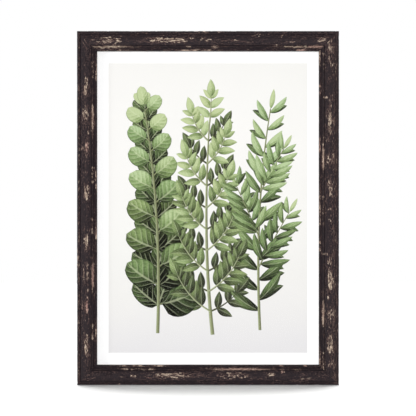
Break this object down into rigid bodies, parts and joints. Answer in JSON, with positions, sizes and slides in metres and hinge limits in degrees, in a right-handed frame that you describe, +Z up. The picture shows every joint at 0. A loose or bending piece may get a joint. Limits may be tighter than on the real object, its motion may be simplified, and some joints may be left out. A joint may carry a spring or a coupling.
{
  "type": "framed print",
  "caption": "Upright wall picture frame with mitred distressed wood moulding, glazing, a white-bordered botanical print, a backing board held by steel tabs, and a sawtooth hanger.",
  "frame": {"origin": "the point on the wall's surface where the nail carries the sawtooth hanger, 15 mm below the frame's top edge and midway between its sides", "axes": "+X is to the viewer's right, +Z is up the wall and +Y points into the wall, so the print faces -Y"},
  "size_m": [0.342, 0.025, 0.462],
  "materials": {
    "distressed_wood": "near-black brown paint, satin, worn through to tan wood along the ridges",
    "glazing": "clear low-reflection sheet glass",
    "printed_paper": "matte heavy art paper with a printed botanical design and a white border",
    "backing_fibreboard": "raw fibreboard, smooth and matte",
    "tab_steel": "zinc-plated spring steel",
    "nail_steel": "bright steel strip",
    "hanger_steel": "zinc-plated pressed steel",
    "screw_steel": "bright steel with a cross recess",
    "bumper_rubber": "matte black rubber"
  },
  "bodies": {
    "root": {"rail_top": "distressed_wood", "rail_right": "distressed_wood", "rail_bottom": "distressed_wood", "rail_left": "distressed_wood", "glazing": "glazing", "print_sheet": "printed_paper", "backing_board": "backing_fibreboard", "tab_top_1": "tab_steel", "tab_top_2": "tab_steel", "tab_right_1": "tab_steel", "tab_right_2": "tab_steel", "tab_right_3": "tab_steel", "tab_bottom_1": "tab_steel", "tab_bottom_2": "tab_steel", "tab_left_1": "tab_steel", "tab_left_2": "tab_steel", "tab_left_3": "tab_steel", "v_nail_top_right_outer": "nail_steel", "v_nail_top_right_inner": "nail_steel", "v_nail_bottom_right_outer": "nail_steel", "v_nail_bottom_right_inner": "nail_steel", "v_nail_bottom_left_outer": "nail_steel", "v_nail_bottom_left_inner": "nail_steel", "v_nail_top_left_outer": "nail_steel", "v_nail_top_left_inner": "nail_steel", "sawtooth_hanger": "hanger_steel", "hanger_screw_left": "screw_steel", "hanger_screw_right": "screw_steel", "bumper_left": "bumper_rubber", "bumper_right": "bumper_rubber"}
  },
  "joints": []
}
